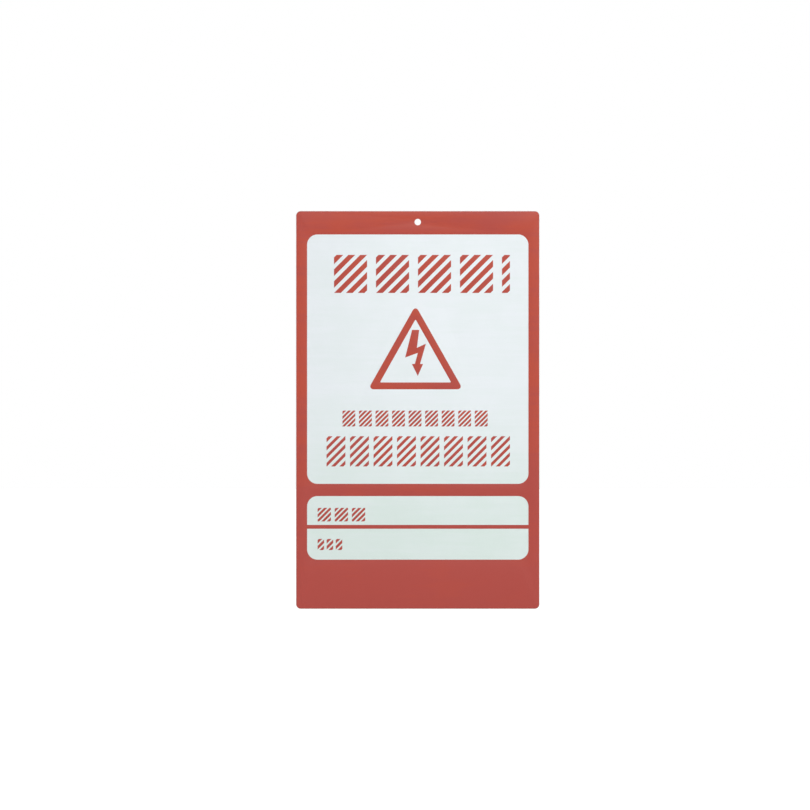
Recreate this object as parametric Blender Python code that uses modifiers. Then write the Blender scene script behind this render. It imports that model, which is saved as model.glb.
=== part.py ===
"""Electric fence warning sign: one thin plastic plate that hangs by the hole in the middle of its top edge.

Its front carries one red ink: a border with two pale windows, a rule across the lower one, a warning triangle
with a lightning flash, and rows of plain hatched blocks. The plate is drawn lying down, with its front up (+Z)
and its top edge towards +Y, and its parent empty stands it up, so that its front faces -Y. The origin is where
it hangs: the middle of the hole, on the plate's back. Lengths are in metres.
"""

import math

import bmesh
import bpy
from mathutils import Matrix, Vector

# Plate
PLATE_WIDTH = 0.153
PLATE_HEIGHT = 0.250
PLATE_THICKNESS = 0.0010
PLATE_CORNER_RADIUS = 0.0030
EDGE_ROUNDING = 0.00015
PLASTIC_COLOUR = (0.79, 0.86, 0.90)
PLASTIC_ROUGHNESS = 0.38

# Hanging hole
HOLE_DIAMETER = 0.0040
HOLE_BELOW_TOP = 0.0070

# Ink: how far it stands out, how deep it's rooted in the plate, and the bare rim that it leaves
INK_THICKNESS = 0.00005
INK_ROOT = 0.0003
INK_TO_EDGE = 0.0002
INK_COLOUR = (0.479, 0.080, 0.061)
INK_ROUGHNESS = 0.45

# Red border round the windows
BORDER_TOP = 0.0148
BORDER_SIDE = 0.0070
BORDER_MIDDLE = 0.0077
BORDER_BOTTOM = 0.0310
WINDOW_CORNER_RADIUS = 0.0065

# Two fields to write in, which share the lower window
UPPER_FIELD_HEIGHT = 0.0181
LOWER_FIELD_HEIGHT = 0.0194
FIELD_RULE = 0.0024

# Warning triangle, over its outer edges
TRIANGLE_WIDTH = 0.0565
TRIANGLE_HEIGHT = 0.0505
TRIANGLE_STROKE = 0.0043
TRIANGLE_INNER_RADIUS = 0.0005
TRIANGLE_SHIFT = -0.0014

# Lightning flash: its corners, as shares of its height, from under its tip
FLASH_HEIGHT = 0.0289
FLASH_ABOVE_TRIANGLE_FOOT = 0.0084
FLASH_CORNERS = (
    (0.050, 0.000),
    (0.165, 0.260),
    (0.100, 0.260),
    (0.225, 0.700),
    (0.030, 0.610),
    (0.080, 1.000),
    (-0.075, 1.000),
    (-0.225, 0.400),
    (0.050, 0.500),
    (-0.015, 0.260),
    (-0.080, 0.260),
)

# Rows of blocks in the upper window, each between its margins from the window's two sides
HEADING_HEIGHT = 0.0239
HEADING_MARGINS = (0.0169, 0.0116)
HEADING_GAP = 0.0056
HEADING_BLOCKS = 4
HEADING_MARK_WIDTH = 0.0050
SMALL_ROW_HEIGHT = 0.0100
SMALL_ROW_MARGINS = (0.0222, 0.0256)
SMALL_ROW_GAP = 0.0023
SMALL_ROW_BLOCKS = 9
LARGE_ROW_HEIGHT = 0.0190
LARGE_ROW_MARGINS = (0.0122, 0.0116)
LARGE_ROW_GAP = 0.0029
LARGE_ROW_BLOCKS = 8

# Free height of the upper window, shared out above, between and below its rows, from the top down
GAP_SHARES = (0.241, 0.188, 0.251, 0.115, 0.205)

# Labels: small blocks at the left of the two fields, each row raised from its field's middle
LABEL_MARGIN = 0.0066
LABEL_BLOCKS = 3
UPPER_LABEL_SIZE = (0.0299, 0.0085)
UPPER_LABEL_GAP = 0.0024
UPPER_LABEL_RAISE = -0.0026
LOWER_LABEL_SIZE = (0.0155, 0.0070)
LOWER_LABEL_GAP = 0.0016
LOWER_LABEL_RAISE = -0.0002

# Stripes at 45 degrees that fill the blocks: about their pitch along the row, and how much of it is ink
HEADING_HATCH = (0.0070, 0.57)
LARGE_ROW_HATCH = (0.0055, 0.49)
SMALL_HATCH = (0.0032, 0.60)

# Fineness: chords in a rounded corner and round the hole, and what counts as a sharp edge, which gets rounded
ARC_STEPS = 8
HOLE_STEPS = 48
EDGE_STEPS = 2
SHARP_EDGE = math.radians(60)

# The plate's sides, from the hole, and a hole cutter that passes both its faces
PLATE_TOP = HOLE_BELOW_TOP
PLATE_FOOT = PLATE_TOP - PLATE_HEIGHT
PLATE_RIGHT = PLATE_WIDTH / 2
CUTTER_LENGTH = PLATE_THICKNESS * 4

# The windows' sides, from the foot up
WINDOW_RIGHT = PLATE_RIGHT - BORDER_SIDE
LOWER_FIELD_FOOT = PLATE_FOOT + BORDER_BOTTOM
LOWER_FIELD_TOP = LOWER_FIELD_FOOT + LOWER_FIELD_HEIGHT
UPPER_FIELD_FOOT = LOWER_FIELD_TOP + FIELD_RULE
UPPER_FIELD_TOP = UPPER_FIELD_FOOT + UPPER_FIELD_HEIGHT
WINDOW_FOOT = UPPER_FIELD_TOP + BORDER_MIDDLE
WINDOW_TOP = PLATE_TOP - BORDER_TOP


# Outlines


def rectangle(left, foot, right, top):
    """Its corners, anticlockwise from the lower left."""
    return [Vector(corner) for corner in ((left, foot), (right, foot), (right, top), (left, top))]


def corner_angles(corners):
    """For each corner of a polygon: the corner, the way to the one before, the way in, and half its angle."""
    for i, corner in enumerate(corners):
        to_before = (corners[i - 1] - corner).normalized()
        to_after = (corners[(i + 1) % len(corners)] - corner).normalized()
        yield corner, to_before, (to_before + to_after).normalized(), to_before.angle(to_after) / 2


def inset(corners, distance):
    """A convex polygon with each side moved in by the distance."""
    return [corner + inwards * distance / math.sin(half) for corner, _, inwards, half in corner_angles(corners)]


def rounded(corners, radii):
    """The outline of a convex polygon, anticlockwise, with each corner an arc of its own radius or left sharp."""
    outline = []
    for radius, (corner, to_before, inwards, half) in zip(radii, corner_angles(corners)):
        if not radius:
            outline.append(corner)
            continue
        centre = corner + inwards * radius / math.sin(half)
        start = corner + to_before * radius / math.tan(half) - centre
        for step in range(ARC_STEPS + 1):
            turn = (math.pi - 2 * half) * step / ARC_STEPS
            outline.append(centre + Matrix.Rotation(turn, 2) @ start)
    return outline


def cut_off(outline, side, outwards):
    """The outline without what lies beyond an upright line: outwards is 1 on its right and -1 on its left."""
    kept = []
    for before, corner in zip([outline[-1], *outline], outline):
        is_beyond = (corner.x - side) * outwards > 0
        was_beyond = (before.x - side) * outwards > 0
        if is_beyond != was_beyond:
            kept.append(before.lerp(corner, (side - before.x) / (corner.x - before.x)))
        if not is_beyond:
            kept.append(corner)
    return kept


# Border, triangle and flash


def border():
    """The border's outer edge, and the windows that it leaves bare."""
    plate = rectangle(-PLATE_RIGHT, PLATE_FOOT, PLATE_RIGHT, PLATE_TOP)
    window = rectangle(-WINDOW_RIGHT, WINDOW_FOOT, WINDOW_RIGHT, WINDOW_TOP)
    upper_field = rectangle(-WINDOW_RIGHT, UPPER_FIELD_FOOT, WINDOW_RIGHT, UPPER_FIELD_TOP)
    lower_field = rectangle(-WINDOW_RIGHT, LOWER_FIELD_FOOT, WINDOW_RIGHT, LOWER_FIELD_TOP)
    return [
        rounded(inset(plate, INK_TO_EDGE), [PLATE_CORNER_RADIUS - INK_TO_EDGE] * 4),
        rounded(window, [WINDOW_CORNER_RADIUS] * 4),
        rounded(upper_field, [0, 0, WINDOW_CORNER_RADIUS, WINDOW_CORNER_RADIUS]),
        rounded(lower_field, [WINDOW_CORNER_RADIUS, WINDOW_CORNER_RADIUS, 0, 0]),
    ]


def triangle(foot):
    """The stroke's two edges, each side of its middle line."""
    half_stroke = TRIANGLE_STROKE / 2
    half_width = TRIANGLE_WIDTH / 2 - half_stroke
    middle_line = [
        Vector((TRIANGLE_SHIFT - half_width, foot + half_stroke)),
        Vector((TRIANGLE_SHIFT + half_width, foot + half_stroke)),
        Vector((TRIANGLE_SHIFT, foot + TRIANGLE_HEIGHT - half_stroke)),
    ]
    return [
        rounded(inset(middle_line, -half_stroke), [half_stroke] * 3),
        rounded(inset(middle_line, half_stroke), [TRIANGLE_INNER_RADIUS] * 3),
    ]


def flash(triangle_foot):
    foot = Vector((TRIANGLE_SHIFT, triangle_foot + FLASH_ABOVE_TRIANGLE_FOOT))
    return [[foot + Vector(corner) * FLASH_HEIGHT for corner in FLASH_CORNERS]]


# Rows of hatched blocks


def stack_rows():
    """The foot of the heading, the triangle, the small row and the large row in the upper window."""
    heights = (HEADING_HEIGHT, TRIANGLE_HEIGHT, SMALL_ROW_HEIGHT, LARGE_ROW_HEIGHT)
    free = WINDOW_TOP - WINDOW_FOOT - sum(heights)
    feet = []
    top = WINDOW_TOP
    for height, share in zip(heights, GAP_SHARES):
        foot = top - free * share / sum(GAP_SHARES) - height
        feet.append(foot)
        top = foot
    return feet


def even_blocks(left, right, count, gap):
    """The two sides of each of the equal blocks between left and right."""
    width = (right - left - gap * (count - 1)) / count
    starts = [left + (width + gap) * i for i in range(count)]
    return [(start, start + width) for start in starts]


def hatched(blocks, foot, height, hatch):
    """The stripes of a row of blocks: they lean at 45 degrees and end at their block's sides."""
    pitch, ink_share = hatch
    outlines = []
    for left, right in blocks:
        run = right - left + height
        count = round(run / pitch)
        width = run / count * ink_share
        for i in range(count):
            start = left - height + run * (i + 0.5) / count - width / 2
            foot_corners = [Vector((start, foot)), Vector((start + width, foot))]
            stripe = foot_corners + [corner + Vector((height, height)) for corner in reversed(foot_corners)]
            outlines.append(cut_off(cut_off(stripe, left, -1), right, 1))
    return outlines


def heading(foot):
    """Equal blocks, and one narrow mark after the last of them."""
    left = HEADING_MARGINS[0] - WINDOW_RIGHT
    mark_right = WINDOW_RIGHT - HEADING_MARGINS[1]
    mark_left = mark_right - HEADING_MARK_WIDTH
    blocks = even_blocks(left, mark_left - HEADING_GAP, HEADING_BLOCKS, HEADING_GAP)
    return hatched([*blocks, (mark_left, mark_right)], foot, HEADING_HEIGHT, HEADING_HATCH)


def row(margins, count, gap, foot, height, hatch):
    blocks = even_blocks(margins[0] - WINDOW_RIGHT, WINDOW_RIGHT - margins[1], count, gap)
    return hatched(blocks, foot, height, hatch)


def label(size, gap, middle):
    width, height = size
    left = LABEL_MARGIN - WINDOW_RIGHT
    blocks = even_blocks(left, left + width, LABEL_BLOCKS, gap)
    return hatched(blocks, middle - height / 2, height, SMALL_HATCH)


# Meshes


def filled(outlines):
    """A flat mesh that fills the outlines, and leaves out any that lies inside another."""
    curve = bpy.data.curves.new("outlines", "CURVE")
    curve.dimensions = "2D"
    curve.fill_mode = "BOTH"
    for outline in outlines:
        spline = curve.splines.new("POLY")
        spline.points.add(len(outline) - 1)
        for point, place in zip(spline.points, outline):
            point.co = (*place, 0, 1)
        spline.use_cyclic_u = True
    drawn = bpy.data.objects.new("outlines", curve)
    mesh = bpy.data.meshes.new_from_object(drawn)
    bpy.data.objects.remove(drawn)
    return mesh


def bare_plate():
    """The sheet with its rounded corners."""
    shape = bmesh.new()
    bmesh.ops.create_cube(shape, size=1)
    bmesh.ops.scale(shape, vec=(PLATE_WIDTH, PLATE_HEIGHT, PLATE_THICKNESS), verts=shape.verts)
    middle = (0, (PLATE_TOP + PLATE_FOOT) / 2, PLATE_THICKNESS / 2)
    bmesh.ops.translate(shape, vec=middle, verts=shape.verts)
    upright = [edge for edge in shape.edges if edge.verts[0].co.xy == edge.verts[1].co.xy]
    bmesh.ops.bevel(
        shape,
        geom=upright,
        offset=PLATE_CORNER_RADIUS,
        affect="EDGES",
        segments=ARC_STEPS,
        profile=0.5,
        material=-1,
    )
    return mesh_of(shape, "sign_plate")


def cutter():
    shape = bmesh.new()
    bmesh.ops.create_cone(
        shape,
        cap_ends=True,
        segments=HOLE_STEPS,
        radius1=HOLE_DIAMETER / 2,
        radius2=HOLE_DIAMETER / 2,
        depth=CUTTER_LENGTH,
    )
    return mesh_of(shape, "hole_cutter")


def mesh_of(shape, name):
    mesh = bpy.data.meshes.new(name)
    shape.to_mesh(mesh)
    shape.free()
    return mesh


# Objects


def clear_scene():
    for obj in list(bpy.data.objects):
        bpy.data.objects.remove(obj)


def new_collection(name):
    collection = bpy.data.collections.new(name)
    bpy.context.scene.collection.children.link(collection)
    return collection


def new_material(name, colour, roughness):
    material = bpy.data.materials.new(name)
    material.use_nodes = True
    shader = material.node_tree.nodes["Principled BSDF"]
    shader.inputs["Base Color"].default_value = (*colour, 1)
    shader.inputs["Roughness"].default_value = roughness
    return material


def add_object(name, mesh, collection, stand):
    obj = bpy.data.objects.new(name, mesh)
    collection.objects.link(obj)
    obj.parent = stand
    return obj


def add_helper(name, mesh, collection, stand):
    helper = add_object(name, mesh, collection, stand)
    helper.hide_render = True
    helper.display_type = "WIRE"
    return helper


def add_print(name, outlines, collection, stand, ink):
    """A print on the plate's front, thick enough to overlap the plate that it's joined to."""
    pad = add_helper(name, filled(outlines), collection, stand)
    pad.location.z = PLATE_THICKNESS + INK_THICKNESS
    pad.data.materials.append(ink)
    thickness = pad.modifiers.new("Thickness", "SOLIDIFY")
    thickness.thickness = INK_THICKNESS + INK_ROOT
    thickness.offset = -1


def add_plate(collection, stand, plastic, print_collection, hole_cutter):
    plate = add_object("sign_plate", bare_plate(), collection, stand)
    plate.data.materials.append(plastic)

    edges = plate.modifiers.new("Rounded edges", "BEVEL")
    edges.width = EDGE_ROUNDING
    edges.segments = EDGE_STEPS
    edges.limit_method = "ANGLE"
    edges.angle_limit = SHARP_EDGE

    ink = plate.modifiers.new("Print", "BOOLEAN")
    ink.operation = "UNION"
    ink.solver = "MANIFOLD"
    ink.operand_type = "COLLECTION"
    ink.collection = print_collection
    ink.material_mode = "TRANSFER"

    hole = plate.modifiers.new("Hanging hole", "BOOLEAN")
    hole.operation = "DIFFERENCE"
    hole.solver = "EXACT"
    hole.object = hole_cutter


def main():
    clear_scene()
    sign = new_collection("electric_fence_warning_sign")
    red_print = new_collection("red_print")
    cutters = new_collection("cutters")
    plastic = new_material("pale_plastic", PLASTIC_COLOUR, PLASTIC_ROUGHNESS)
    ink = new_material("red_ink", INK_COLOUR, INK_ROUGHNESS)

    stand = bpy.data.objects.new("hanging_point", None)
    stand.rotation_euler.x = math.radians(90)
    stand.empty_display_size = HOLE_DIAMETER
    sign.objects.link(stand)

    heading_foot, triangle_foot, small_foot, large_foot = stack_rows()
    small_row = (SMALL_ROW_MARGINS, SMALL_ROW_BLOCKS, SMALL_ROW_GAP, small_foot, SMALL_ROW_HEIGHT, SMALL_HATCH)
    large_row = (LARGE_ROW_MARGINS, LARGE_ROW_BLOCKS, LARGE_ROW_GAP, large_foot, LARGE_ROW_HEIGHT, LARGE_ROW_HATCH)
    upper_middle = (UPPER_FIELD_FOOT + UPPER_FIELD_TOP) / 2 + UPPER_LABEL_RAISE
    lower_middle = (LOWER_FIELD_FOOT + LOWER_FIELD_TOP) / 2 + LOWER_LABEL_RAISE
    prints = {
        "border_print": border(),
        "triangle_print": triangle(triangle_foot),
        "flash_print": flash(triangle_foot),
        "heading_print": heading(heading_foot),
        "small_row_print": row(*small_row),
        "large_row_print": row(*large_row),
        "upper_label_print": label(UPPER_LABEL_SIZE, UPPER_LABEL_GAP, upper_middle),
        "lower_label_print": label(LOWER_LABEL_SIZE, LOWER_LABEL_GAP, lower_middle),
    }
    for name, outlines in prints.items():
        add_print(name, outlines, red_print, stand, ink)

    hole_cutter = add_helper("hole_cutter", cutter(), cutters, stand)
    add_plate(sign, stand, plastic, red_print, hole_cutter)


main()
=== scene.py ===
"""Looks of the electric fence warning sign: a thin pale plastic sheet with one red ink on its front.

The sheet and each print are drawn lying down, with the front up (+Z) and the top edge towards +Y, and are
stood up at the end, so that the front faces -Y. The origin is where the sign hangs: the middle of the hole,
on the sheet's back. Lengths are in metres.
"""

import math

import bmesh
import bpy
from mathutils import Matrix, Vector


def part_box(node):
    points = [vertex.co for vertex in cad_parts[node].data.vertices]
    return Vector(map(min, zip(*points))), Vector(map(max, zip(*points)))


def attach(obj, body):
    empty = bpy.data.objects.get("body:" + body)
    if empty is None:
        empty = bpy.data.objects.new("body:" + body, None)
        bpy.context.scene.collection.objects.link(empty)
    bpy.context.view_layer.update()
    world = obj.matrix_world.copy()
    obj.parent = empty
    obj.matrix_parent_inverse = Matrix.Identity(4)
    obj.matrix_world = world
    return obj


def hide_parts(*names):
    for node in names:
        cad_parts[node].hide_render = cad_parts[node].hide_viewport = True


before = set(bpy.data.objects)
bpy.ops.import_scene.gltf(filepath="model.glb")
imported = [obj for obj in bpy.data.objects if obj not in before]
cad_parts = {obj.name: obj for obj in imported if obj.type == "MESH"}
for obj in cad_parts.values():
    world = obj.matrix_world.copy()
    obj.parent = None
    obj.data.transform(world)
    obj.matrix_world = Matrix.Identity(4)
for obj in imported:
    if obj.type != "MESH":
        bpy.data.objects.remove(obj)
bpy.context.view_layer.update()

# Sheet, from the solid that it stands for, which the ink makes thicker at its front
SHEET_NODE = "sign_plate"
INK_THICKNESS = 0.00005
SHEET_LOW, SHEET_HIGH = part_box(SHEET_NODE)
SHEET_FOOT = SHEET_LOW.z
SHEET_TOP = SHEET_HIGH.z
SHEET_MIDDLE = (SHEET_TOP + SHEET_FOOT) / 2
SHEET_RIGHT = SHEET_HIGH.x
SHEET_THICKNESS = SHEET_HIGH.y - SHEET_LOW.y - INK_THICKNESS
SHEET_CORNER_RADIUS = 0.0030
SHEET_EDGE_ROUNDING = 0.00015

# Hanging hole
HOLE_RADIUS = 0.0020

# Ink: how deep it's seated in the sheet, its soft rim, and the bare edge that it leaves
INK_SEAT = 0.00002
INK_EDGE_ROUNDING = 0.00003
INK_TO_EDGE = 0.0002

# Red border round the windows
BORDER_TOP = 0.0148
BORDER_SIDE = 0.0070
BORDER_MIDDLE = 0.0077
BORDER_BOTTOM = 0.0310
WINDOW_CORNER_RADIUS = 0.0065

# Two fields to write in, which share the lower window
UPPER_FIELD_HEIGHT = 0.0181
LOWER_FIELD_HEIGHT = 0.0194
FIELD_RULE = 0.0024

# Warning triangle, over its outer edges
TRIANGLE_WIDTH = 0.0565
TRIANGLE_HEIGHT = 0.0505
TRIANGLE_STROKE = 0.0043
TRIANGLE_INNER_RADIUS = 0.0005
TRIANGLE_SHIFT = -0.0014

# Lightning flash: its corners, as shares of its height, from under its tip
FLASH_HEIGHT = 0.0289
FLASH_ABOVE_TRIANGLE_FOOT = 0.0084
FLASH_CORNERS = (
    (0.050, 0.000),
    (0.165, 0.260),
    (0.100, 0.260),
    (0.225, 0.700),
    (0.030, 0.610),
    (0.080, 1.000),
    (-0.075, 1.000),
    (-0.225, 0.400),
    (0.050, 0.500),
    (-0.015, 0.260),
    (-0.080, 0.260),
)

# Rows of blocks in the upper window, each between its margins from the window's two sides
HEADING_HEIGHT = 0.0239
HEADING_MARGINS = (0.0169, 0.0116)
HEADING_GAP = 0.0056
HEADING_BLOCKS = 4
HEADING_MARK_WIDTH = 0.0050
SMALL_ROW_HEIGHT = 0.0100
SMALL_ROW_MARGINS = (0.0222, 0.0256)
SMALL_ROW_GAP = 0.0023
SMALL_ROW_BLOCKS = 9
LARGE_ROW_HEIGHT = 0.0190
LARGE_ROW_MARGINS = (0.0122, 0.0116)
LARGE_ROW_GAP = 0.0029
LARGE_ROW_BLOCKS = 8

# Free height of the upper window, shared out above, between and below its rows, from the top down
GAP_SHARES = (0.241, 0.188, 0.251, 0.115, 0.205)

# Labels: small blocks at the left of the two fields, each row raised from its field's middle
LABEL_MARGIN = 0.0066
LABEL_BLOCKS = 3
UPPER_LABEL_SIZE = (0.0299, 0.0085)
UPPER_LABEL_GAP = 0.0024
UPPER_LABEL_RAISE = -0.0026
LOWER_LABEL_SIZE = (0.0155, 0.0070)
LOWER_LABEL_GAP = 0.0016
LOWER_LABEL_RAISE = -0.0002

# Stripes at 45 degrees that fill the blocks: about their pitch along the row, and how much of it is ink
HEADING_HATCH = (0.0070, 0.57)
LARGE_ROW_HATCH = (0.0055, 0.49)
SMALL_HATCH = (0.0032, 0.60)

# Fineness: chords in a rounded corner and round the hole, and steps across a rim
ARC_STEPS = 16
HOLE_STEPS = 64
RIM_STEPS = 3

# What counts as a sharp edge, as a point on a cut, and as a face that lies flat
SHARP_EDGE = math.radians(50)
CUT_TOLERANCE = 1e-6
FLAT_FACE = 0.9999

# The windows' sides, from the foot up
WINDOW_RIGHT = SHEET_RIGHT - BORDER_SIDE
LOWER_FIELD_FOOT = SHEET_FOOT + BORDER_BOTTOM
LOWER_FIELD_TOP = LOWER_FIELD_FOOT + LOWER_FIELD_HEIGHT
UPPER_FIELD_FOOT = LOWER_FIELD_TOP + FIELD_RULE
UPPER_FIELD_TOP = UPPER_FIELD_FOOT + UPPER_FIELD_HEIGHT
WINDOW_FOOT = UPPER_FIELD_TOP + BORDER_MIDDLE
WINDOW_TOP = SHEET_TOP - BORDER_TOP

# Colours of the plastic and the ink, and the darker tone of each, which its mottle drifts towards and which
# paints shade towards the foot
PLASTIC_COLOUR = (0.809, 0.857, 0.885)
PLASTIC_MOTTLE_AND_SHADE_TONE = (0.689, 0.792, 0.752)
INK_COLOUR = (0.454, 0.052, 0.023)
INK_MOTTLE_AND_SHADE_TONE = (0.400, 0.048, 0.034)

# Painted shade down the sign, darker (and greener on the plastic) towards the foot: the heights between
# which it grows, and how far it has gone at the foot
FOOT_SHADE_STARTS = -0.100
FOOT_SHADE_ENDS = -0.200
FOOT_SHADE_AT_FOOT = 0.8

# Mottle: how far its patches and streaks drift, and how much of it is streaks
PLASTIC_MOTTLE = 0.22
INK_MOTTLE = 0.8
STREAK_SHARE = 0.4

# Paler tones of the plastic where it's cut, and of the ink where it's punched
CUT_PLASTIC_COLOUR = (0.840, 0.868, 0.880)
PUNCHED_INK_COLOUR = (0.560, 0.150, 0.110)

# Pale ring that the punch leaves round the hole: its width, and its strength at the hole
RING_WIDTH = 0.0007
RING_STRENGTH = 0.4

# Frosting of a cut: how near the sheet's faces it starts to fade, and where it's gone
FROSTING_FADES = SHEET_EDGE_ROUNDING
FROSTING_GONE = SHEET_EDGE_ROUNDING / 3

# Gloss: how rough each face is, and how far that varies over it
PLASTIC_ROUGHNESS = 0.38
INK_ROUGHNESS = 0.45
CUT_ROUGHNESS = 0.58
GLOSS_SPREAD = 0.12

# Grain, slow waves of a thin sheet, and lines of the knife: their sizes across, and their depths
PLASTIC_GRAIN = (0.0006, 0.00005)
INK_GRAIN = (0.0005, 0.00005)
WAVES = (0.045, 0.00035)
KNIFE_LINES = (0.0005, 0.00010)
KNIFE_LINE_STRETCH = 8

# Patterns in the tone and the gloss: their sizes across, and how far each is drawn out along the sheet
PATCHES = (0.022, 1.4)
STREAKS = (0.0024, 14)
CLOUDS = (0.009, 3)

# Noise: its detail, its middle value, and the values between which the mottle grows
NOISE_DETAIL = 2.0
WAVE_DETAIL = 0.0
NOISE_MIDDLE = 0.5
MOTTLE_STARTS = 0.36
MOTTLE_FULL = 0.64

# The photograph's frame, and where the sheet's sides lie in it, in pixels
PICTURE_SIZE = 810
SHEET_LEFT_PX = 296.3
SHEET_RIGHT_PX = 539.2
SHEET_TOP_PX = 210.9
SHEET_FOOT_PX = 609.0
CAMERA_LENS_MM = 120
CAMERA_SENSOR_MM = 36

# Floor: it glows a little where it's seen, more with distance, so that it shows as white
FLOOR_BELOW_SHEET = 0.30
FLOOR_SIZE = 24.0
FLOOR_SQUARES = 8
FLOOR_COLOUR = (0.82, 0.82, 0.82)
FLOOR_ROUGHNESS = 0.9
FLOOR_GLOW_NEAR = 0.15
FLOOR_GLOW_FAR = 0.80
FLOOR_GLOW_REACH = 2.5

# Light: plain white, its level all round, and each lamp's place, the side of its square and its watts
WHITE = (1, 1, 1)
AMBIENT_LEVEL = 0.43
LAMPS = {
    "key_light": ((0.35, -1.15, 0.72), 0.8, 8.2),
    "right_light": ((1.4, -0.9, 0.1), 0.8, 4.3),
    "left_light": ((-1.4, -0.9, 0.1), 0.8, 4.3),
    "back_light": ((0.3, 1.3, 0.8), 1.0, 14),
}


# Flat outlines


def add_rectangle(shape, left, foot, right, top):
    """A flat face between those sides, and its four corners."""
    corners = bmesh.ops.create_grid(shape, x_segments=1, y_segments=1, size=0.5)["verts"]
    bmesh.ops.scale(shape, vec=(right - left, top - foot, 1), verts=corners)
    bmesh.ops.translate(shape, vec=((left + right) / 2, (foot + top) / 2, 0), verts=corners)
    return corners


def add_polygon(shape, places):
    """A flat face with its corners at those places, and the corners."""
    corners = [shape.verts.new((x, y, 0)) for x, y in places]
    shape.faces.new(corners)
    return corners


def round_corners(shape, corners, radius):
    """Turns each corner of a flat face into an arc."""
    for corner in corners:
        to_one, to_other = (edge.other_vert(corner).co - corner.co for edge in corner.link_edges)
        bmesh.ops.bevel(
            shape,
            geom=[corner],
            offset=radius / math.tan(to_one.angle(to_other) / 2),
            affect="VERTICES",
            segments=ARC_STEPS,
            profile=0.5,
            material=-1,
        )


def add_hole(shape):
    """The outline of the hanging hole."""
    bmesh.ops.create_circle(shape, segments=HOLE_STEPS, radius=HOLE_RADIUS)


def fill_between(shape):
    """Fills the outlines, and leaves open any that lies inside another."""
    bmesh.ops.delete(shape, geom=shape.faces[:], context="FACES_ONLY")
    bmesh.ops.triangle_fill(shape, edges=shape.edges[:], use_beauty=True)


# Bodies


def round_rim(shape, faces, radius):
    """Carries flat faces out along a quarter circle, which rounds their rim."""
    for step in range(RIM_STEPS):
        start = math.pi / 2 * step / RIM_STEPS
        end = math.pi / 2 * (step + 1) / RIM_STEPS
        bmesh.ops.inset_region(
            shape,
            faces=faces,
            thickness=radius * (math.cos(start) - math.cos(end)),
            depth=radius * (math.sin(end) - math.sin(start)),
            use_boundary=True,
            use_even_offset=True,
        )


def thicken(shape, back, front):
    """Makes flat faces at height 0 a body between two heights, and returns its back and front faces."""
    back_faces = shape.faces[:]
    extruded = bmesh.ops.extrude_face_region(shape, geom=back_faces)["geom"]
    front_faces = [part for part in extruded if isinstance(part, bmesh.types.BMFace)]
    front_corners = list({corner for face in front_faces for corner in face.verts})
    back_corners = list(set(shape.verts) - set(front_corners))
    bmesh.ops.translate(shape, vec=(0, 0, front), verts=front_corners)
    bmesh.ops.translate(shape, vec=(0, 0, back), verts=back_corners)
    bmesh.ops.recalc_face_normals(shape, faces=shape.faces[:])
    return back_faces, front_faces


def new_object(name, data):
    """An object in the scene, at the origin, for a mesh, a lamp or a lens."""
    obj = bpy.data.objects.new(name, data)
    bpy.context.scene.collection.objects.link(obj)
    return obj


def mesh_object(shape, name):
    """An object in the scene with the finished shape as its mesh."""
    mesh = bpy.data.meshes.new(name)
    shape.to_mesh(mesh)
    shape.free()
    return new_object(name, mesh)


def stood_up(shape, name):
    """The finished object: upright, with flat faces kept flat and only the rims smooth."""
    upright = Matrix.Rotation(math.radians(90), 3, "X")
    bmesh.ops.rotate(shape, cent=(0, 0, 0), matrix=upright, verts=shape.verts)
    shape.normal_update()
    for face in shape.faces:
        face.smooth = abs(face.normal.y) < FLAT_FACE
    obj = mesh_object(shape, name)
    obj.data.set_sharp_from_angle(angle=SHARP_EDGE)
    return obj


def sheet_body():
    """The bare sheet, with a rounded rim at its front and back and round its hole."""
    shape = bmesh.new()
    corners = add_rectangle(shape, -SHEET_RIGHT, SHEET_FOOT, SHEET_RIGHT, SHEET_TOP)
    round_corners(shape, corners, SHEET_CORNER_RADIUS)
    add_hole(shape)
    fill_between(shape)
    both_sides = thicken(shape, SHEET_EDGE_ROUNDING, SHEET_THICKNESS - SHEET_EDGE_ROUNDING)
    for faces in both_sides:
        round_rim(shape, faces, SHEET_EDGE_ROUNDING)
    return stood_up(shape, "plastic_sheet")


def ink_body(shape, name):
    """A print: its flat faces made a film on the sheet's front, with a soft rim."""
    back = SHEET_THICKNESS - INK_SEAT
    front = SHEET_THICKNESS + INK_THICKNESS - INK_EDGE_ROUNDING
    _, front_faces = thicken(shape, back, front)
    round_rim(shape, front_faces, INK_EDGE_ROUNDING)
    return stood_up(shape, name)


# Border, triangle and flash


def add_window(shape, foot, top, round_foot=True, round_top=True):
    """The outline of a window as wide as all of them, rounded at its foot, its top or both."""
    corners = add_rectangle(shape, -WINDOW_RIGHT, foot, WINDOW_RIGHT, top)
    middle = (foot + top) / 2
    to_round = [corner for corner in corners if (round_top if corner.co.y > middle else round_foot)]
    round_corners(shape, to_round, WINDOW_CORNER_RADIUS)


def border_ink():
    """The border, open at the windows and the hole, with the rule between the two fields."""
    right = SHEET_RIGHT - INK_TO_EDGE
    shape = bmesh.new()
    corners = add_rectangle(shape, -right, SHEET_FOOT + INK_TO_EDGE, right, SHEET_TOP - INK_TO_EDGE)
    round_corners(shape, corners, SHEET_CORNER_RADIUS - INK_TO_EDGE)
    add_window(shape, WINDOW_FOOT, WINDOW_TOP)
    add_window(shape, UPPER_FIELD_FOOT, UPPER_FIELD_TOP, round_foot=False)
    add_window(shape, LOWER_FIELD_FOOT, LOWER_FIELD_TOP, round_top=False)
    add_hole(shape)
    fill_between(shape)
    return ink_body(shape, "border_ink")


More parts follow.
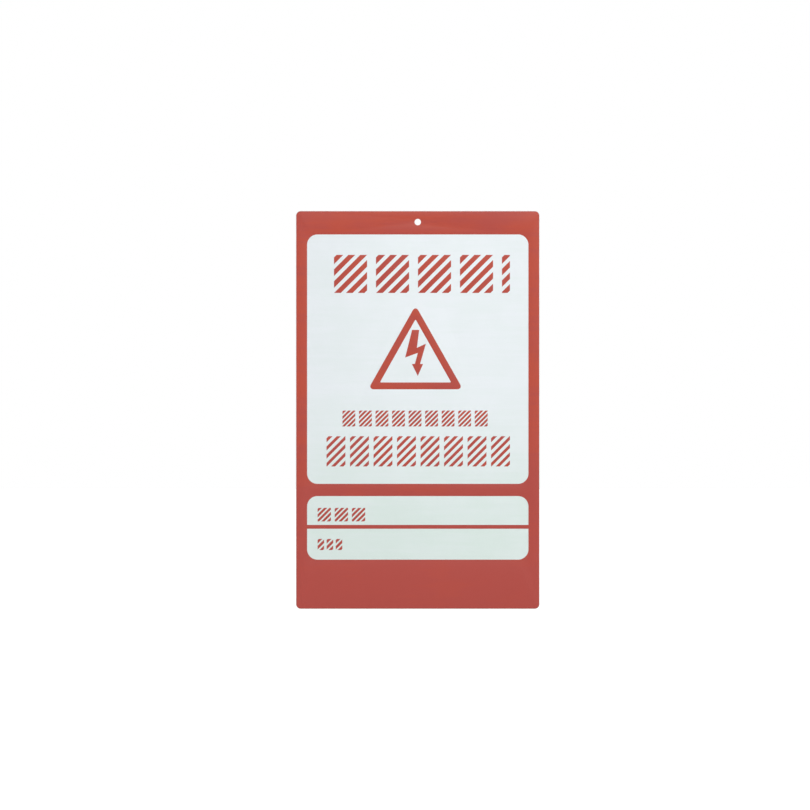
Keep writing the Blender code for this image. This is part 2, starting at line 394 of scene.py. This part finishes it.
def triangle_ink(foot):
    """A stroke of even width: a triangle's middle line, moved out and in by half the stroke."""
    half_stroke = TRIANGLE_STROKE / 2
    half_base = TRIANGLE_WIDTH / 2 - half_stroke
    height = TRIANGLE_HEIGHT - TRIANGLE_STROKE
    inner_circle = half_base * height / (half_base + math.hypot(half_base, height))
    centre = Vector((TRIANGLE_SHIFT, foot + half_stroke + inner_circle, 0))
    shape = bmesh.new()
    for offset, radius in ((half_stroke, half_stroke), (-half_stroke, TRIANGLE_INNER_RADIUS)):
        scale = 1 + offset / inner_circle
        corners = add_polygon(shape, [(-half_base, 0), (half_base, 0), (0, height)])
        bmesh.ops.translate(shape, vec=(0, -inner_circle, 0), verts=corners)
        bmesh.ops.scale(shape, vec=(scale, scale, 1), verts=corners)
        bmesh.ops.translate(shape, vec=centre, verts=corners)
        round_corners(shape, corners, radius)
    fill_between(shape)
    return ink_body(shape, "triangle_ink")


def flash_ink(triangle_foot):
    """The lightning flash, with its tip down."""
    foot = triangle_foot + FLASH_ABOVE_TRIANGLE_FOOT
    places = [(TRIANGLE_SHIFT + x * FLASH_HEIGHT, foot + y * FLASH_HEIGHT) for x, y in FLASH_CORNERS]
    shape = bmesh.new()
    add_polygon(shape, places)
    return ink_body(shape, "flash_ink")


# Rows of hatched blocks


def stack_rows():
    """The foot of the heading, the triangle, the small row and the large row in the upper window."""
    heights = (HEADING_HEIGHT, TRIANGLE_HEIGHT, SMALL_ROW_HEIGHT, LARGE_ROW_HEIGHT)
    free = WINDOW_TOP - WINDOW_FOOT - sum(heights)
    feet = []
    top = WINDOW_TOP
    for height, share in zip(heights, GAP_SHARES):
        foot = top - free * share / sum(GAP_SHARES) - height
        feet.append(foot)
        top = foot
    return feet


def even_blocks(left, right, count, gap):
    """The two sides of each of the equal blocks between left and right."""
    width = (right - left - gap * (count - 1)) / count
    starts = [left + (width + gap) * i for i in range(count)]
    return [(start, start + width) for start in starts]


def add_hatched_block(shape, left, foot, right, top, hatch):
    """A block cut along slanted lines, with the bare strips between its stripes taken out."""
    pitch, ink_share = hatch
    height = top - foot
    run = right - left + height
    count = round(run / pitch)
    corners = add_rectangle(shape, left, foot, right, top)
    parts = [*corners, *corners[0].link_faces, *corners[0].link_faces[0].edges]
    for i in range(count):
        for side in (-1, 1):
            along = run / count * (i + 0.5 + side * ink_share / 2)
            cut = bmesh.ops.bisect_plane(
                shape,
                geom=parts,
                dist=CUT_TOLERANCE,
                plane_co=(left - height + along, foot, 0),
                plane_no=(1, -1, 0),
            )
            parts = cut["geom"]
    strips = [part for part in parts if isinstance(part, bmesh.types.BMFace)]
    for strip in strips:
        middle = strip.calc_center_median()
        along = (middle.x - left - middle.y + foot + height) / run * count
        if abs(along % 1 - 0.5) > ink_share / 2:
            bmesh.ops.delete(shape, geom=[strip], context="FACES")


def hatched_ink(name, blocks, foot, height, hatch):
    """One print of hatched blocks, each given by its two sides."""
    shape = bmesh.new()
    for left, right in blocks:
        add_hatched_block(shape, left, foot, right, foot + height, hatch)
    return ink_body(shape, name)


def heading_ink(foot):
    """Equal blocks, and one narrow mark after the last of them."""
    left = HEADING_MARGINS[0] - WINDOW_RIGHT
    mark_right = WINDOW_RIGHT - HEADING_MARGINS[1]
    mark_left = mark_right - HEADING_MARK_WIDTH
    blocks = even_blocks(left, mark_left - HEADING_GAP, HEADING_BLOCKS, HEADING_GAP)
    blocks.append((mark_left, mark_right))
    return hatched_ink("heading_ink", blocks, foot, HEADING_HEIGHT, HEADING_HATCH)


def row_blocks(margins, count, gap):
    """The sides of the equal blocks between a row's margins."""
    return even_blocks(margins[0] - WINDOW_RIGHT, WINDOW_RIGHT - margins[1], count, gap)


def small_row_ink(foot):
    """The small row, under the triangle."""
    blocks = row_blocks(SMALL_ROW_MARGINS, SMALL_ROW_BLOCKS, SMALL_ROW_GAP)
    return hatched_ink("small_row_ink", blocks, foot, SMALL_ROW_HEIGHT, SMALL_HATCH)


def large_row_ink(foot):
    """The large row, nearest the window's foot."""
    blocks = row_blocks(LARGE_ROW_MARGINS, LARGE_ROW_BLOCKS, LARGE_ROW_GAP)
    return hatched_ink("large_row_ink", blocks, foot, LARGE_ROW_HEIGHT, LARGE_ROW_HATCH)


def label_ink(name, size, gap, middle):
    """A label's blocks, from the left of its field, at that height."""
    width, height = size
    left = LABEL_MARGIN - WINDOW_RIGHT
    blocks = even_blocks(left, left + width, LABEL_BLOCKS, gap)
    return hatched_ink(name, blocks, middle - height / 2, height, SMALL_HATCH)


def ink_films():
    """Every print on the sheet."""
    heading_foot, triangle_foot, small_row_foot, large_row_foot = stack_rows()
    upper_middle = (UPPER_FIELD_FOOT + UPPER_FIELD_TOP) / 2 + UPPER_LABEL_RAISE
    lower_middle = (LOWER_FIELD_FOOT + LOWER_FIELD_TOP) / 2 + LOWER_LABEL_RAISE
    return [
        border_ink(),
        triangle_ink(triangle_foot),
        flash_ink(triangle_foot),
        heading_ink(heading_foot),
        small_row_ink(small_row_foot),
        large_row_ink(large_row_foot),
        label_ink("upper_label_ink", UPPER_LABEL_SIZE, UPPER_LABEL_GAP, upper_middle),
        label_ink("lower_label_ink", LOWER_LABEL_SIZE, LOWER_LABEL_GAP, lower_middle),
    ]


# Nodes


def opaque(colour):
    """The colour as a socket takes it, with an alpha of 1."""
    return (*colour, 1)


def feed(tree, socket, value):
    """Links a socket to another, or sets its value."""
    if isinstance(value, bpy.types.NodeSocket):
        tree.links.new(value, socket)
    else:
        socket.default_value = value


def add_node(tree, kind, inputs=(), **settings):
    """A node with its settings, whose inputs are values or the sockets that they are linked from."""
    node = tree.nodes.new(kind)
    for name, value in settings.items():
        setattr(node, name, value)
    for name, value in dict(inputs).items():
        feed(tree, node.inputs[name], value)
    return node


def maths(tree, operation, *values):
    """The result of a Math node on those values or sockets."""
    return add_node(tree, "ShaderNodeMath", enumerate(values), operation=operation).outputs["Value"]


def ranged(tree, value, start, end, at_start=0.0, at_end=1.0):
    """Goes smoothly from one number to another, while the given value goes from start to end."""
    ends = {"From Min": start, "From Max": end, "To Min": at_start, "To Max": at_end}
    node = add_node(tree, "ShaderNodeMapRange", {"Value": value, **ends}, interpolation_type="SMOOTHSTEP")
    return node.outputs["Result"]


def mixed(tree, kind, factor, first, second):
    """The result of a Mix node. Its sockets go by identifier, because numbers and colours share names."""
    node = add_node(tree, "ShaderNodeMix", data_type=kind)
    ending = {"FLOAT": "Float", "RGBA": "Color"}[kind]
    sockets = {socket.identifier: socket for socket in (*node.inputs, *node.outputs)}
    feed(tree, sockets["Factor_Float"], factor)
    feed(tree, sockets["A_" + ending], first)
    feed(tree, sockets["B_" + ending], second)
    return sockets["Result_" + ending]


def object_place(tree):
    """The place on the piece, in metres from the origin."""
    return add_node(tree, "ShaderNodeTexCoord").outputs["Object"]


def along_axes(tree, place):
    """The place's three coordinates, by the names X, Y and Z."""
    return add_node(tree, "ShaderNodeSeparateXYZ", {"Vector": place}).outputs


def noise(tree, place, sizes, detail=NOISE_DETAIL):
    """Noise with patches of about those sizes along X, Y and Z."""
    mapping = add_node(tree, "ShaderNodeMapping", {"Vector": place})
    mapping.inputs["Scale"].default_value = [1 / size for size in sizes]
    inputs = {"Vector": mapping.outputs["Vector"], "Scale": 1, "Detail": detail}
    return add_node(tree, "ShaderNodeTexNoise", inputs).outputs["Fac"]


def drawn_out(tree, place, size, stretch):
    """Noise of that size across, drawn out sideways by a factor."""
    return noise(tree, place, (size * stretch, size, size))


def new_group(name, inputs, outputs):
    """An empty node group with those sockets, each given as its name and kind, and its two end nodes."""
    tree = bpy.data.node_groups.new(name, "ShaderNodeTree")
    for socket, kind in inputs.items():
        tree.interface.new_socket(socket, in_out="INPUT", socket_type=kind)
    for socket, kind in outputs.items():
        tree.interface.new_socket(socket, in_out="OUTPUT", socket_type=kind)
    return tree, tree.nodes.new("NodeGroupInput"), tree.nodes.new("NodeGroupOutput")


def place_group(tree, group, inputs=()):
    """A node group placed in a material, with that material's own values."""
    return add_node(tree, "ShaderNodeGroup", inputs, node_tree=group)


# Effects, each a node group


def tone_and_shade_group():
    """Painted shade that turns the sign to its darker tone towards the foot, with faint patches and streaks
    across it.
    """
    tree, given, result = new_group(
        "tone_and_foot_shade",
        {"Tone": "NodeSocketColor", "Mottle And Shade Tone": "NodeSocketColor", "Mottle": "NodeSocketFloat"},
        {"Colour": "NodeSocketColor"},
    )
    place = object_place(tree)
    patches = drawn_out(tree, place, *PATCHES)
    streaks = drawn_out(tree, place, *STREAKS)
    mottle = mixed(tree, "FLOAT", STREAK_SHARE, patches, streaks)
    mottle = ranged(tree, mottle, MOTTLE_STARTS, MOTTLE_FULL, at_end=given.outputs["Mottle"])
    # Painted shade: the colour turns to the darker tone towards the sign's foot
    height = along_axes(tree, place)["Z"]
    foot_shade = ranged(tree, height, FOOT_SHADE_STARTS, FOOT_SHADE_ENDS, at_end=FOOT_SHADE_AT_FOOT)
    factor = maths(tree, "MINIMUM", maths(tree, "ADD", mottle, foot_shade), 1.0)
    colour = mixed(tree, "RGBA", factor, given.outputs["Tone"], given.outputs["Mottle And Shade Tone"])
    tree.links.new(colour, result.inputs["Colour"])
    return tree


def surface_group():
    """Fine grain on slow waves, and gloss that varies a little over the face."""
    tree, given, result = new_group(
        "fine_surface",
        {"Roughness": "NodeSocketFloat", "Grain Size": "NodeSocketFloat", "Grain Depth": "NodeSocketFloat"},
        {"Roughness": "NodeSocketFloat", "Height": "NodeSocketFloat"},
    )
    place = object_place(tree)
    fineness = maths(tree, "DIVIDE", 1.0, given.outputs["Grain Size"])
    grain_inputs = {"Vector": place, "Scale": fineness, "Detail": NOISE_DETAIL}
    grain = add_node(tree, "ShaderNodeTexNoise", grain_inputs).outputs["Fac"]
    wave_size, wave_depth = WAVES
    waves = noise(tree, place, [wave_size] * 3, detail=WAVE_DETAIL)
    height = maths(tree, "MULTIPLY", grain, given.outputs["Grain Depth"])
    height = maths(tree, "MULTIPLY_ADD", waves, wave_depth, height)
    cloud = maths(tree, "SUBTRACT", drawn_out(tree, place, *CLOUDS), NOISE_MIDDLE)
    gloss = maths(tree, "MULTIPLY_ADD", cloud, GLOSS_SPREAD, given.outputs["Roughness"])
    tree.links.new(gloss, result.inputs["Roughness"])
    tree.links.new(height, result.inputs["Height"])
    return tree


def ring_group():
    """A ring round the hole, where the punch strained the plastic and the ink on it."""
    tree, _, result = new_group("punched_ring", {}, {"Mask": "NodeSocketFloat"})
    sides = along_axes(tree, object_place(tree))
    squares = [maths(tree, "MULTIPLY", sides[name], sides[name]) for name in ("X", "Z")]
    from_middle = maths(tree, "SQRT", maths(tree, "ADD", *squares))
    mask = ranged(tree, from_middle, HOLE_RADIUS, HOLE_RADIUS + RING_WIDTH, RING_STRENGTH, 0.0)
    tree.links.new(mask, result.inputs["Mask"])
    return tree


def cut_group():
    """The rim and the hole's wall, where a blade cut the sheet, with fine lines across its thickness."""
    tree, _, result = new_group("cut_edge", {}, {"Mask": "NodeSocketFloat", "Height": "NodeSocketFloat"})
    place = object_place(tree)
    half = SHEET_THICKNESS / 2
    from_middle = maths(tree, "ABSOLUTE", maths(tree, "ADD", along_axes(tree, place)["Y"], half))
    mask = ranged(tree, from_middle, half - FROSTING_FADES, half - FROSTING_GONE, 1.0, 0.0)
    size, depth = KNIFE_LINES
    lines = noise(tree, place, (size, size * KNIFE_LINE_STRETCH, size))
    height = maths(tree, "MULTIPLY", maths(tree, "MULTIPLY", lines, depth), mask)
    tree.links.new(mask, result.inputs["Mask"])
    tree.links.new(height, result.inputs["Height"])
    return tree


# Materials


def new_material(name):
    """A material with nodes, and its node tree."""
    material = bpy.data.materials.new(name)
    material.use_nodes = True
    return material, material.node_tree


def satin_face(tree, groups, tones, mottle, roughness, grain):
    """The nodes of a satin face: its colour in two near tones, with painted shade towards the foot, its
    roughness and its height, as sockets.
    """
    tone, mottle_and_shade_tone = (opaque(colour) for colour in tones)
    grain_size, grain_depth = grain
    tone_and_shade_inputs = {"Tone": tone, "Mottle And Shade Tone": mottle_and_shade_tone, "Mottle": mottle}
    foot_shade = place_group(tree, groups["tone"], tone_and_shade_inputs)
    surface_inputs = {"Roughness": roughness, "Grain Size": grain_size, "Grain Depth": grain_depth}
    surface = place_group(tree, groups["surface"], surface_inputs)
    return foot_shade.outputs["Colour"], surface.outputs["Roughness"], surface.outputs["Height"]


def finish_shader(tree, colour, roughness, height):
    """Links a face's nodes to the shader. The height is in metres, so the bump's distance is 1."""
    shader = tree.nodes["Principled BSDF"]
    bump = add_node(tree, "ShaderNodeBump", {"Height": height, "Distance": 1.0})
    tree.links.new(colour, shader.inputs["Base Color"])
    tree.links.new(roughness, shader.inputs["Roughness"])
    tree.links.new(bump.outputs["Normal"], shader.inputs["Normal"])


def plastic_material(groups):
    """Pale satin plastic, frosted where it's cut and paler round its hole."""
    material, tree = new_material("pale_plastic")
    looks = ((PLASTIC_COLOUR, PLASTIC_MOTTLE_AND_SHADE_TONE), PLASTIC_MOTTLE, PLASTIC_ROUGHNESS, PLASTIC_GRAIN)
    # The plastic's colour carries painted shade towards the foot
    colour, roughness, height = satin_face(tree, groups, *looks)
    cut = place_group(tree, groups["cut"])
    ring = place_group(tree, groups["ring"])
    paleness = maths(tree, "MAXIMUM", cut.outputs["Mask"], ring.outputs["Mask"])
    colour = mixed(tree, "RGBA", paleness, colour, opaque(CUT_PLASTIC_COLOUR))
    roughness = mixed(tree, "FLOAT", cut.outputs["Mask"], roughness, CUT_ROUGHNESS)
    height = maths(tree, "ADD", height, cut.outputs["Height"])
    finish_shader(tree, colour, roughness, height)
    return material


def ink_material(groups):
    """Opaque red screen ink, a little more matte than the plastic, and paler round the hole."""
    material, tree = new_material("red_ink")
    looks = ((INK_COLOUR, INK_MOTTLE_AND_SHADE_TONE), INK_MOTTLE, INK_ROUGHNESS, INK_GRAIN)
    # The ink's colour carries painted shade towards the foot
    colour, roughness, height = satin_face(tree, groups, *looks)
    ring = place_group(tree, groups["ring"])
    colour = mixed(tree, "RGBA", ring.outputs["Mask"], colour, opaque(PUNCHED_INK_COLOUR))
    finish_shader(tree, colour, roughness, height)
    return material


# Studio


def seen_directly(tree):
    """1 for what the camera sees, also by way of gloss or glass, and 0 for light that falls on things."""
    path = add_node(tree, "ShaderNodeLightPath").outputs
    camera_or_gloss = maths(tree, "MAXIMUM", path["Is Camera Ray"], path["Is Glossy Ray"])
    return maths(tree, "MAXIMUM", camera_or_gloss, path["Is Transmission Ray"])


def floor_material():
    """Matte and pale from above, where it glows just enough to show as white, and clear from below."""
    material, tree = new_material("pale_floor")
    shader = tree.nodes["Principled BSDF"]
    shader.inputs["Base Color"].default_value = opaque(FLOOR_COLOUR)
    shader.inputs["Roughness"].default_value = FLOOR_ROUGHNESS
    shader.inputs["Emission Color"].default_value = opaque(WHITE)
    distance = add_node(tree, "ShaderNodeVectorMath", {0: object_place(tree)}, operation="LENGTH")
    from_sign = distance.outputs["Value"]
    glow = ranged(tree, from_sign, FLOOR_BELOW_SHEET, FLOOR_GLOW_REACH, FLOOR_GLOW_NEAR, FLOOR_GLOW_FAR)
    glow = maths(tree, "MULTIPLY", seen_directly(tree), glow)
    tree.links.new(glow, shader.inputs["Emission Strength"])

    from_below = add_node(tree, "ShaderNodeNewGeometry").outputs["Backfacing"]
    clear = add_node(tree, "ShaderNodeBsdfTransparent").outputs["BSDF"]
    either_side = {0: from_below, 1: shader.outputs["BSDF"], 2: clear}
    either = add_node(tree, "ShaderNodeMixShader", either_side)
    tree.links.new(either.outputs["Shader"], tree.nodes["Material Output"].inputs["Surface"])
    return material


def add_floor():
    """A plain floor, well below the sign, which keeps the sign's shadow."""
    shape = bmesh.new()
    bmesh.ops.create_grid(shape, x_segments=FLOOR_SQUARES, y_segments=FLOOR_SQUARES, size=FLOOR_SIZE / 2)
    bmesh.ops.translate(shape, vec=(0, 0, SHEET_FOOT - FLOOR_BELOW_SHEET), verts=shape.verts)
    floor = mesh_object(shape, "studio_floor")
    floor.data.materials.append(floor_material())


def light_world():
    """White where the camera looks, and a soft even light on the sign."""
    world = bpy.data.worlds.new("studio")
    bpy.context.scene.world = world
    world.use_nodes = True
    tree = world.node_tree
    background = tree.nodes["Background"]
    background.inputs["Color"].default_value = opaque(WHITE)
    level = mixed(tree, "FLOAT", seen_directly(tree), AMBIENT_LEVEL, 1.0)
    tree.links.new(level, background.inputs["Strength"])


def add_lamps():
    """Square soft lamps that face the middle of the sheet."""
    for name, (place, size, watts) in LAMPS.items():
        lamp = bpy.data.lights.new(name, "AREA")
        lamp.shape = "SQUARE"
        lamp.size = size
        lamp.energy = watts
        obj = new_object(name, lamp)
        obj.location = place
        to_sheet = Vector((0, 0, SHEET_MIDDLE)) - Vector(place)
        obj.rotation_euler = to_sheet.to_track_quat("-Z", "Y").to_euler()
        obj.visible_camera = False


def add_camera():
    """A long lens straight in front, with the sheet where the photograph has it."""
    metres_per_px = (SHEET_TOP - SHEET_FOOT) / (SHEET_FOOT_PX - SHEET_TOP_PX)
    right_of_sheet = (PICTURE_SIZE / 2 - (SHEET_LEFT_PX + SHEET_RIGHT_PX) / 2) * metres_per_px
    above_sheet = ((SHEET_TOP_PX + SHEET_FOOT_PX) / 2 - PICTURE_SIZE / 2) * metres_per_px
    distance = PICTURE_SIZE * metres_per_px * CAMERA_LENS_MM / CAMERA_SENSOR_MM
    lens = bpy.data.cameras.new("camera")
    lens.lens = CAMERA_LENS_MM
    lens.sensor_width = CAMERA_SENSOR_MM
    camera = new_object("camera", lens)
    camera.location = (right_of_sheet, SHEET_LOW.y - distance, SHEET_MIDDLE + above_sheet)
    camera.rotation_euler = (math.radians(90), 0, 0)
    bpy.context.scene.camera = camera


# Sign


def build_sign():
    """The sheet in place of its solid, and the prints on it."""
    groups = {"tone": tone_and_shade_group(), "surface": surface_group(), "ring": ring_group(), "cut": cut_group()}
    sheet = sheet_body()
    sheet.data.materials.append(plastic_material(groups))
    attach(sheet, "root")
    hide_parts(SHEET_NODE)
    ink = ink_material(groups)
    for film in ink_films():
        film.data.materials.append(ink)
        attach(film, "root")


build_sign()
add_floor()
light_world()
add_lamps()
add_camera()
bpy.context.scene.view_settings.view_transform = "Standard"
